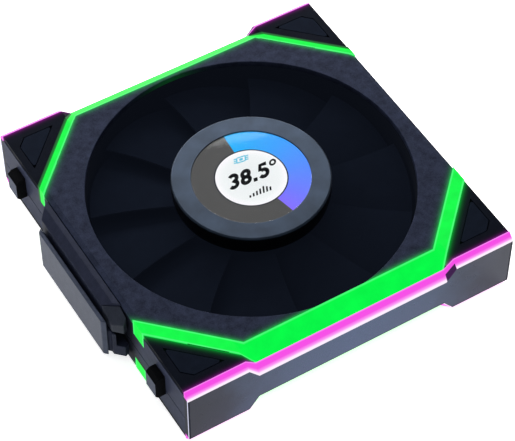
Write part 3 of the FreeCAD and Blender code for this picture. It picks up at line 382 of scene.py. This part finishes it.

# Housing: how far the painted black shade of the duct reaches, where the pegs start and where their outer
# faces are painted lighter as lit, and the painted shadow by the module
DUCT_RADIUS = PLATE_HALF + 1.5
PEG_START = HALF + 0.03
PEG_FACE = HALF + 3.0
WALL_OUTER = -HALF - 0.02
WALL_INNER = 0.5 - HALF
SHADOW_START = 27.0
SHADOW_END = 33.0
SHADOW_DEEP = 0.85

# Bezel: top of its black skirt, and radians of the grooves' wave per millimetre
SKIRT_TOP = BEZEL_TOP - 0.9
GROOVE_WAVE = 40.0

# Display: its pale centre with the line round it, and where the arc starts and ends in degrees
CENTRE_RADIUS = 11.7
CENTRE_LINE = 0.42
ARC_START = 86.0
ARC_END = -77.0


def moulded(name, dark, light, rough, specular, grain=PLASTIC_GRAIN, mottle=2.6, relief=0.012):
    """Matt moulded plastic: mottled colour, fine spark-eroded grain and uneven gloss.

    The colour is kept on the finish, for finishes that mix another into it.
    """
    finish = Finish(name)
    patches = finish.spread(finish.noise(mottle), low=0.0, high=1.0)
    specks = finish.spread(finish.noise(grain, detail=2.0), low=0.0, high=1.0)
    share = finish.plus(finish.times(patches, MOTTLE_SHARE), finish.times(specks, 1 - MOTTLE_SHARE))
    finish.colour = finish.blend(share, tone(*dark), tone(*light))
    gloss = finish.spread(specks, low=rough - 0.06, high=rough + 0.08, from_low=0, from_high=1)
    finish.set(Base_Color=finish.colour, Roughness=gloss, Specular_IOR_Level=specular)
    finish.bump(grain, relief)
    return finish


def plain(name, dark, light, rough, metallic, stretch=None, depth=0.004):
    """A finish whose colour and gloss drift a little, with fine relief."""
    finish = Finish(name)
    share = finish.spread(finish.noise(PLAIN_PATCH, stretch=stretch), low=0.0, high=1.0)
    gloss = finish.spread(share, low=rough - 0.04, high=rough + 0.06, from_low=0, from_high=1)
    finish.set(Base_Color=finish.blend(share, tone(*dark), tone(*light)), Metallic=metallic, Roughness=gloss)
    finish.bump(PLAIN_GRAIN, depth, stretch)
    return finish.material


def plate_plastic():
    finish = moulded("plate_plastic", dark=(22, 26, 39), light=(48, 54, 74), rough=0.5, specular=0.02)
    # Painted glow of the strips on the plate beside them
    add_painted_glow(finish, plate_share=1.0)
    return finish.material


def wall_shadow(finish):
    """Painted shadow: darkening of the module's wall behind the module and beside its ends."""
    wall = finish.between(finish.coordinate(0), WALL_OUTER, WALL_INNER)
    beside = finish.spread(finish.distance(1), SHADOW_DEEP, 0.0, SHADOW_START, SHADOW_END)
    return finish.times(wall, beside)


def housing_plastic():
    """The body's plastic, with painted shade and light: the duct inside and the pegs' flanks are painted
    black as shade, the duct gets a faint painted glow, the wall by the module a painted shadow, and the pegs'
    outer faces are painted lighter as lit faces.
    """
    finish = moulded("housing_plastic", dark=(46, 51, 68), light=(62, 67, 88), rough=0.5, specular=0.03)
    # Painted shade: the duct's inside and the pegs' flanks go black, and the duct gets a faint painted glow
    duct = finish.below(finish.radius(), DUCT_RADIUS)
    across = finish.distance(0)
    flank = finish.times(finish.above(across, PEG_START), finish.below(finish.normal(0), SQUARE_ON))
    # Painted shadow on the wall by the module
    shade = finish.blend(wall_shadow(finish), finish.colour, BLACK)
    # Painted light: the pegs' outer faces are lighter, as faces that catch the light
    shade = finish.blend(finish.above(across, PEG_FACE), shade, tone(76, 82, 98))
    gloss = finish.spread(finish.noise(PLASTIC_GRAIN), low=0.44, high=0.58, from_low=0, from_high=1)
    finish.set(Base_Color=finish.blend(finish.either(duct, flank), shade, BLACK),
               Roughness=finish.either(gloss, duct),
               Emission_Color=finish.scaled(PAINTED_DARK_GLOW[:3], duct), Emission_Strength=1.0)
    return finish.material


def cap_plastic():
    finish = moulded("cap_plastic", dark=(9, 12, 20), light=(15, 19, 29), rough=0.45, specular=0.01,
                     mottle=4.0)
    # Painted glow of the strips on the cap beside them
    add_painted_glow(finish, corner_share=1.0, side_share=1.0)
    return finish.material


def pad_rubber():
    finish = moulded("pad_rubber", dark=(13, 18, 28), light=(19, 25, 37), rough=0.62, specular=0.01,
                     grain=0.22)
    # Painted glow of the strips on the pad beside them
    add_painted_glow(finish, corner_share=1.0, side_share=1.0)
    return finish.material


def blade_plastic():
    finish = moulded("blade_plastic", dark=(9, 12, 19), light=(12, 16, 24), rough=0.6, specular=0.0,
                     mottle=5.0, relief=0.005)
    # Faint painted glow that evens out the blades' dark tone
    finish.set(Emission_Color=PAINTED_DARK_GLOW, Emission_Strength=1.0)
    return finish.material


def smoked_mirror():
    """Tinted mirror film behind clear plastic; its middle is painted bluer and lighter than its ends, a
    painted reflection on the film's own tint.
    """
    finish = Finish("smoked_mirror")
    share = finish.divided(finish.distance(0), HALF, clamp=True)
    drift = finish.plus(share, finish.spread(finish.noise(feature=14.0), low=-0.08, high=0.08))
    # Painted reflection: bluer and lighter in the middle, darker towards the ends
    colour = finish.ramp(drift, [(0.0, tone(64, 82, 112)), (0.45, tone(60, 76, 102)),
                                 (0.8, tone(35, 40, 58)), (1.0, tone(27, 31, 46))])
    haziness = finish.spread(finish.noise(feature=3.0), low=0.2, high=0.28)
    finish.set(Base_Color=colour, Metallic=0.85, Roughness=haziness, Coat_Weight=0.1, Coat_Roughness=0.1)
    return finish.material


def bezel_metal():
    """Satin anodised ring, turned: fine grooves run round the axis, and its skirt is black."""
    finish = Finish("bezel_metal")
    drift = finish.spread(finish.noise(feature=7.0), low=0.0, high=1.0)
    face = finish.blend(drift, tone(31, 41, 54), tone(43, 55, 71))
    skirt = finish.below(finish.coordinate(2), SKIRT_TOP)
    grooves = finish.math("SINE", finish.times(finish.radius(), GROOVE_WAVE))
    finish.set(Base_Color=finish.blend(skirt, face, tone(8, 10, 15)), Metallic=0.75,
               Roughness=finish.spread(grooves, low=0.38, high=0.44, from_low=-1, from_high=1))
    finish.bump(feature=0.3, depth=0.004)
    return finish.material


def display_face():
    """Readout: pale centre, dark line round it, and an outer band with a blue-to-violet arc."""
    finish = Finish("display_face")
    radius = finish.radius()
    angle = finish.math("ARCTAN2", finish.coordinate(1), finish.coordinate(0))
    first, last = math.radians(ARC_START), math.radians(ARC_END)
    share = finish.divided(finish.minus(first, angle), first - last)
    arc_colour = finish.ramp(share, [(0.0, tone(30, 178, 252)), (0.35, tone(62, 163, 255)),
                                     (0.62, tone(88, 142, 255)), (0.85, tone(112, 124, 255)),
                                     (1.0, tone(134, 112, 255))])
    band = finish.blend(finish.between(share, 0.0, 1.0), tone(80, 80, 80), arc_colour)
    centre = finish.ramp(finish.divided(radius, CENTRE_RADIUS),
                         [(0.0, tone(234, 238, 240)), (0.8, tone(242, 246, 247)),
                          (0.94, tone(252, 252, 255)), (1.0, tone(252, 252, 255))])
    colour = finish.blend(finish.below(radius, CENTRE_RADIUS), band, centre)
    on_line = finish.between(radius, CENTRE_RADIUS, CENTRE_RADIUS + CENTRE_LINE)
    colour = finish.blend(on_line, colour, tone(24, 30, 44))
    grain = finish.spread(finish.noise(feature=0.3, detail=1.0), low=0.99, high=1.01)
    finish.set(Base_Color=tone(5, 5, 6), Roughness=0.5, Specular_IOR_Level=0.04,
               Emission_Color=finish.scaled(colour, grain), Emission_Strength=1.0)
    return finish.material


def lens_glass():
    finish = Finish("lens_glass")
    finish.set(Base_Color=(1, 1, 1, 1), Roughness=0.03, IOR=1.2, Transmission_Weight=1.0)
    finish.bump(feature=9.0, depth=0.002)
    return finish.material


def led_white():
    finish = Finish("led_white")
    glow = finish.spread(finish.noise(feature=0.8), low=0.8, high=1.2)
    finish.set(Base_Color=tone(230, 226, 210), Roughness=0.4,
               Emission_Color=finish.scaled((0.9, 0.5, 0.9), glow), Emission_Strength=1.0)
    return finish.material


# Finishes with a function of their own
OWN_FINISHES = {
    "housing_plastic": housing_plastic,
    "plate_plastic": plate_plastic,
    "cap_plastic": cap_plastic,
    "pad_rubber": pad_rubber,
    "green_light": green_light,
    "magenta_light": magenta_light,
    "smoked_mirror": smoked_mirror,
    "led_white": led_white,
    "blade_plastic": blade_plastic,
    "display_face": display_face,
    "lens_glass": lens_glass,
    "bezel_metal": bezel_metal,
}

# Moulded finishes: dark tone, light tone, roughness, specular level
MOULDED = {
    "module_plastic": ((29, 33, 47), (43, 47, 65), 0.5, 0.05),
    "module_cover_metal": ((48, 54, 70), (66, 73, 92), 0.42, 0.1),
    "latch_plastic": ((40, 44, 54), (54, 58, 70), 0.48, 0.08),
}

# Plain finishes: dark tone, light tone, roughness, metallic
PLAIN = {
    "circuit_board": ((10, 34, 22), (16, 48, 30), 0.45, 0.0),
    "screw_steel": ((84, 86, 90), (120, 122, 128), 0.32, 1.0),
    "contact_plastic": ((18, 18, 20), (30, 30, 33), 0.5, 0.0),
    "contact_gold": ((212, 160, 72), (236, 190, 98), 0.24, 1.0),
    "post_steel": ((150, 152, 156), (178, 180, 184), 0.22, 1.0),
    "core_steel": ((82, 84, 90), (120, 122, 128), 0.4, 1.0),
    "insulator_plastic": ((196, 190, 174), (216, 210, 196), 0.5, 0.0),
    "winding_copper": ((150, 70, 34), (196, 104, 58), 0.3, 1.0),
    "yoke_steel": ((92, 94, 100), (122, 124, 130), 0.36, 1.0),
    "magnet": ((28, 27, 28), (44, 42, 43), 0.6, 0.0),
    "bearing_bronze": ((150, 112, 62), (176, 136, 82), 0.38, 1.0),
    "carrier_plastic": ((10, 12, 16), (18, 20, 26), 0.48, 0.0),
    "ribbon_film": ((150, 96, 30), (182, 122, 44), 0.35, 0.0),
}

# Plain finishes whose pattern shows stacked sheets or wound wire
PATTERNS = {
    "core_steel": {"stretch": (1, 1, 12)},
    "winding_copper": {"stretch": (1.0, 6.0, 6.0), "depth": 0.03},
}


def make_finish(name):
    """The finish for a material slot of that name."""
    if name in OWN_FINISHES:
        return OWN_FINISHES[name]()
    if name in MOULDED:
        return moulded(name, *MOULDED[name]).material
    return plain(name, *PLAIN[name], **PATTERNS.get(name, {}))


def apply_finishes():
    """Swap each packed material for its finish; a slot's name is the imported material's name."""
    made = {}
    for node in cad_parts.values():
        for slot in node.material_slots:
            name = slot.material.name.split(".")[0]
            if name not in made:
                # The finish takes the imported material's name, so both names lead to it
                slot.material.name = "packed_" + name
                made[name] = make_finish(name)
                made["packed_" + name] = made[name]
            slot.material = made[name]


# ---------------------------------------------------------------- rounded edges

# Width of the rounding for each node that gets one, and limits of the modifiers: lengths in
# millimetres, angles in degrees
ROUNDED = {
    "front_plate": 0.25, "rear_plate": 0.25, "frame_housing": 0.2,
    "module_body": 0.3, "module_cover": 0.4, "release_latch": 0.3, "display_bezel": 0.12,
}
WELD_DISTANCE = 0.002
FLAT_ANGLE = 0.5
SHARP_ANGLE = 35
BEVEL_SEGMENTS = 3


def round_edges(name, width):
    """Round a CAD node's sharp edges with modifiers; the node's own mesh stays as it is."""
    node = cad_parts[name]
    weld = node.modifiers.new("weld", "WELD")
    weld.merge_threshold = WELD_DISTANCE * MM
    flat = node.modifiers.new("flat", "DECIMATE")
    flat.decimate_type = "DISSOLVE"
    flat.angle_limit = math.radians(FLAT_ANGLE)
    bevel = node.modifiers.new("bevel", "BEVEL")
    bevel.width = width * MM
    bevel.segments = BEVEL_SEGMENTS
    bevel.limit_method = "ANGLE"
    bevel.angle_limit = math.radians(SHARP_ANGLE)
    bevel.use_clamp_overlap = True
    bevel.harden_normals = True


# ---------------------------------------------------------------- readout and lens

# Levels of the print on the screen
INK_LOW = SCREEN + 0.01
INK_HIGH = SCREEN + 0.05

# Number: where it starts, how it leans and turns, its figures and its degree ring
READOUT_LEAN = 0.36
NUMBER = "38.5"
NUMBER_START = (-9.2, -1.3)
NUMBER_TILT = -5.0
DIGIT_WIDE = 4.0
DIGIT_HIGH = 6.2
DIGIT_STROKE = 1.4
DIGIT_GAP = 0.5
LOOP_NARROW = 0.92
BOWL_TALL = 1.15
BOWL_SHIFT = 0.1
FLAG_INSET = 0.25
STEM_INSET = 0.05
DEGREE_ACROSS = 1.0
DEGREE_DROP = 1.3
DEGREE_RADIUS = 0.95
DEGREE_STROKE = 0.7

# Chip sign: its case, its pins on both sides and the core
SIGN_START = (-2.2, 7.6)
SIGN_TILT = -7.5
SIGN_STROKE = 0.42
SIGN_CASE = [(1.3, 0.2), (4.3, 0.2), (4.3, 2.2), (1.3, 2.2)]
SIGN_PIN_LEVELS = (0.45, 1.2, 1.95)
SIGN_PIN_ENDS = ((0.2, 1.1), (4.5, 5.4))
SIGN_CORE = [(2.2, 1.2), (3.4, 1.2)]
SIGN_CORE_WIDE = 0.9

# Row of bars: their heights, width and pitch
BARS_START = (-4.9, -7.1)
BARS_TILT = -6.0
BARS = (0.9, 1.3, 1.7, 2.1, 2.6, 2.1, 1.5)
BAR_WIDE = 0.62
BAR_PITCH = 1.2

# Lens: its clearances, its softened edge and the number of sides of its rings
LENS_RADIUS = WINDOW - 0.02
LENS_LOW = SCREEN + 0.12
LENS_EDGE = 0.25
LENS_SHOULDER = LENS_EDGE * 0.3
LENS_SIDES = 128


def arc(middle, radii, start, end, steps=12):
    """Points along an ellipse from one angle to another, in degrees."""
    points = []
    for step in range(steps + 1):
        angle = math.radians(start + (end - start) * step / steps)
        points.append((middle[0] + radii[0] * math.cos(angle), middle[1] + radii[1] * math.sin(angle)))
    return points


def digit_lines(figure):
    """Centre lines of a 3, 5 or 8 in its cell, as (points, closed) pairs."""
    half = DIGIT_STROKE / 2
    left, right = half, DIGIT_WIDE - half
    low, high = half, DIGIT_HIGH - half
    middle = (left + right) / 2
    wide = (right - left) / 2
    tall = (high - low) / 4
    if figure == "3":
        upper = arc((middle, high - tall), (wide, tall), start=150, end=-90)
        lower = arc((middle, low + tall), (wide, tall), start=90, end=-150)
        return [(upper + lower[1:], False)]
    if figure == "8":
        upper = arc((middle, high - tall), (wide * LOOP_NARROW, tall), start=90, end=430, steps=20)
        lower = arc((middle, low + tall), (wide, tall), start=90, end=430, steps=20)
        return [(upper, True), (lower, True)]
    bowl_tall = tall * BOWL_TALL
    bowl = arc((middle - BOWL_SHIFT, low + bowl_tall), (wide + BOWL_SHIFT, bowl_tall),
               start=125, end=-150, steps=16)
    stem_end = (left + STEM_INSET, bowl[0][1] - STEM_INSET)
    flag = [(right - BOWL_SHIFT, high), (left + FLAG_INSET, high), stem_end]
    return [(flag, False), (bowl, False)]


def placed(points, start, tilt):
    """Points of the readout's leaning lines, laid on the display round its start."""
    turn = math.radians(tilt)
    laid = []
    for x, y in points:
        lean = x + READOUT_LEAN * y
        laid.append((start[0] + lean * math.cos(turn) - y * math.sin(turn),
                     start[1] + lean * math.sin(turn) + y * math.cos(turn)))
    return laid


def edges_of(points, half, closed):
    """Both edges of a line of that half width that runs along the points."""
    count = len(points)
    left, right = [], []
    for index, (x, y) in enumerate(points):
        before = points[index - 1] if index or closed else points[index]
        after = points[(index + 1) % count] if index + 1 < count or closed else points[index]
        along = Vector((after[0] - before[0], after[1] - before[1])).normalized()
        left.append((x - along.y * half, y + along.x * half))
        right.append((x + along.y * half, y - along.x * half))
    return left, right


def add_object(name, vertices, faces, material):
    """New mesh object of that material; the vertices are in millimetres."""
    mesh = bpy.data.meshes.new(name)
    mesh.from_pydata([(x * MM, y * MM, z * MM) for x, y, z in vertices], [], faces)
    mesh.update()
    mesh.materials.append(material)
    made = bpy.data.objects.new(name, mesh)
    bpy.context.scene.collection.objects.link(made)
    return made


def ink(name, lines, start, tilt, colour):
    """Thin raised print: each line is (points, width, closed) in the readout's own frame."""
    # Four vertices for each point: both edges of the line, low and high
    vertices, faces = [], []
    for points, width, closed in lines:
        left, right = edges_of(points, width / 2, closed)
        first = len(vertices)
        for outer, inner in zip(placed(left, start, tilt), placed(right, start, tilt)):
            vertices += [(*outer, INK_LOW), (*inner, INK_LOW), (*inner, INK_HIGH), (*outer, INK_HIGH)]
        count = len(points)
        for index in range(count if closed else count - 1):
            here = first + 4 * index
            there = first + 4 * ((index + 1) % count)
            for side in range(4):
                beside = (side + 1) % 4
                faces.append((here + side, here + beside, there + beside, there + side))
        if not closed:
            last = first + 4 * (count - 1)
            faces.append((first + 3, first + 2, first + 1, first))
            faces.append((last, last + 1, last + 2, last + 3))
    finish = Finish(name)
    finish.set(Base_Color=BLACK, Roughness=0.5, Specular_IOR_Level=0.02, Emission_Color=colour,
               Emission_Strength=1.0)
    piece = add_object(name, vertices, faces, finish.material)
    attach(piece, DISPLAY_BODY)


def number_lines():
    """Lines of the number, with a degree ring behind it."""
    lines = []
    across = 0.0
    for figure in NUMBER:
        if figure == ".":
            level = DIGIT_STROKE / 2
            lines.append(([(across, level), (across + DIGIT_STROKE, level)], DIGIT_STROKE, False))
            across += DIGIT_STROKE + DIGIT_GAP
            continue
        for points, closed in digit_lines(figure):
            lines.append(([(across + x, y) for x, y in points], DIGIT_STROKE, closed))
        across += DIGIT_WIDE + DIGIT_GAP
    ring = arc((across + DEGREE_ACROSS, DIGIT_HIGH - DEGREE_DROP), (DEGREE_RADIUS, DEGREE_RADIUS),
               start=0, end=342, steps=19)
    lines.append((ring, DEGREE_STROKE, True))
    return lines


def sign_lines():
    """Lines of the chip sign: its case, its pins and its core."""
    lines = []
    for corner, following in zip(SIGN_CASE, SIGN_CASE[1:] + SIGN_CASE[:1]):
        lines.append(([corner, following], SIGN_STROKE, False))
    for level in SIGN_PIN_LEVELS:
        for start, end in SIGN_PIN_ENDS:
            lines.append(([(start, level), (end, level)], SIGN_STROKE, False))
    lines.append((SIGN_CORE, SIGN_CORE_WIDE, False))
    return lines


def bar_lines():
    """Lines of the row of bars."""
    lines = []
    for number, tall in enumerate(BARS):
        across = BAR_WIDE / 2 + number * BAR_PITCH
        lines.append(([(across, 0), (across, tall)], BAR_WIDE, False))
    return lines


def make_readout():
    """The number, a chip sign above it and a row of bars below."""
    ink("readout_number", number_lines(), NUMBER_START, NUMBER_TILT, tone(3, 4, 6))
    ink("readout_sign", sign_lines(), SIGN_START, SIGN_TILT, tone(90, 196, 226))
    ink("readout_bars", bar_lines(), BARS_START, BARS_TILT, tone(12, 14, 18))


def make_lens():
    """Clear round lens with a softened edge, a hair above the screen."""
    rings = [(LENS_RADIUS, LENS_LOW), (LENS_RADIUS, LENS_TOP - LENS_EDGE),
             (LENS_RADIUS - LENS_SHOULDER, LENS_TOP - LENS_SHOULDER), (LENS_RADIUS - LENS_EDGE, LENS_TOP)]
    vertices = []
    for radius, level in rings:
        for step in range(LENS_SIDES):
            angle = 2 * math.pi * step / LENS_SIDES
            vertices.append((radius * math.cos(angle), radius * math.sin(angle), level))
    top = len(vertices) - LENS_SIDES
    faces = [tuple(reversed(range(LENS_SIDES))), tuple(range(top, len(vertices)))]
    for first in range(0, top, LENS_SIDES):
        for step in range(LENS_SIDES):
            after = (step + 1) % LENS_SIDES
            above = first + LENS_SIDES
            faces.append((first + step, first + after, above + after, above + step))
    lens = add_object("clear_lens", vertices, faces, lens_glass())
    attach(lens, DISPLAY_BODY)
    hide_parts("display_lens")


# ---------------------------------------------------------------- stage, lights and camera

# Floor: half its width, how far it lies below the fan, its glow, and half the width of its dark part, a
# painted shadow under the fan
FLOOR_HALF = 6000.0
FLOOR_DROP = 0.05
FLOOR_GLOW = 0.76
SHADE_HALF = 55.0

# Colour and strength of the light from all round
WORLD_TINT = (0.95, 0.97, 1.0, 1)
WORLD_STRENGTH = 0.29

# Soft boxes: place and aim in metres, width and height in metres, power in watts
SOFTBOXES = {
    "overhead": ((-0.3, -0.1, 1.6), (0, 0, 0), 1.6, 1.6, 6),
    "far_side": ((0.10, 0.36, 0.20), (0, 0.05, 0.02), 0.60, 0.34, 3.6),
}

# Camera: place and clipping in metres, direction of view, lens and sensor in millimetres
CAMERA_PLACE = (-0.2295, -0.3822, 0.5528)
CAMERA_AIM = (0.3276, 0.5400, -0.7753)
CAMERA_LENS = 148.5
CAMERA_SENSOR = 36.0
CLIP_START = 0.01
CLIP_END = 50.0


def aimed(direction):
    """Turn of a lamp or a camera that looks in that direction."""
    return Vector(direction).to_track_quat("-Z", "Y").to_euler()


def make_floor():
    """White floor with a glow of its own, and a painted shadow under the fan: dark there, and without the
    glow.
    """
    finish = Finish("floor_white")
    beyond = finish.either(finish.distance(0), finish.distance(1))
    # Painted shadow: the floor under the fan is dark and has no glow
    open_floor = finish.above(beyond, SHADE_HALF)
    finish.set(Base_Color=finish.blend(open_floor, tone(16, 18, 22), tone(245, 245, 245)), Roughness=0.8,
               Specular_IOR_Level=0.1, Emission_Color=(1, 1, 1, 1),
               Emission_Strength=finish.times(open_floor, FLOOR_GLOW))
    corners = [(-1, -1), (1, -1), (1, 1), (-1, 1)]
    vertices = [(x * FLOOR_HALF, y * FLOOR_HALF, -FLOOR_DROP) for x, y in corners]
    floor = add_object("floor", vertices, [(0, 1, 2, 3)], finish.material)


def area_light(name, place, target, width, height, power):
    """Soft box that the camera doesn't see."""
    data = bpy.data.lights.new(name, "AREA")
    data.shape = "RECTANGLE"
    data.size = width
    data.size_y = height
    data.energy = power
    lamp = bpy.data.objects.new(name, data)
    bpy.context.scene.collection.objects.link(lamp)
    lamp.location = place
    lamp.rotation_euler = aimed(Vector(target) - Vector(place))
    lamp.visible_camera = False


def make_lights():
    """Even light from all round, and the soft boxes."""
    world = bpy.data.worlds.new("studio")
    world.use_nodes = True
    background = world.node_tree.nodes["Background"]
    background.inputs["Color"].default_value = WORLD_TINT
    background.inputs["Strength"].default_value = WORLD_STRENGTH
    bpy.context.scene.world = world
    for name, values in SOFTBOXES.items():
        area_light(name, *values)


def make_camera():
    """Camera in front of the fan's lower left corner, aimed near the display."""
    data = bpy.data.cameras.new("camera")
    data.lens = CAMERA_LENS
    data.sensor_width = CAMERA_SENSOR
    data.clip_start = CLIP_START
    data.clip_end = CLIP_END
    camera = bpy.data.objects.new("camera", data)
    bpy.context.scene.collection.objects.link(camera)
    camera.location = CAMERA_PLACE
    camera.rotation_euler = aimed(CAMERA_AIM)
    bpy.context.scene.camera = camera


apply_finishes()
for node_name, edge_width in ROUNDED.items():
    round_edges(node_name, edge_width)
make_readout()
make_lens()
make_floor()
make_lights()
make_camera()
bpy.context.scene.view_settings.view_transform = "Standard"
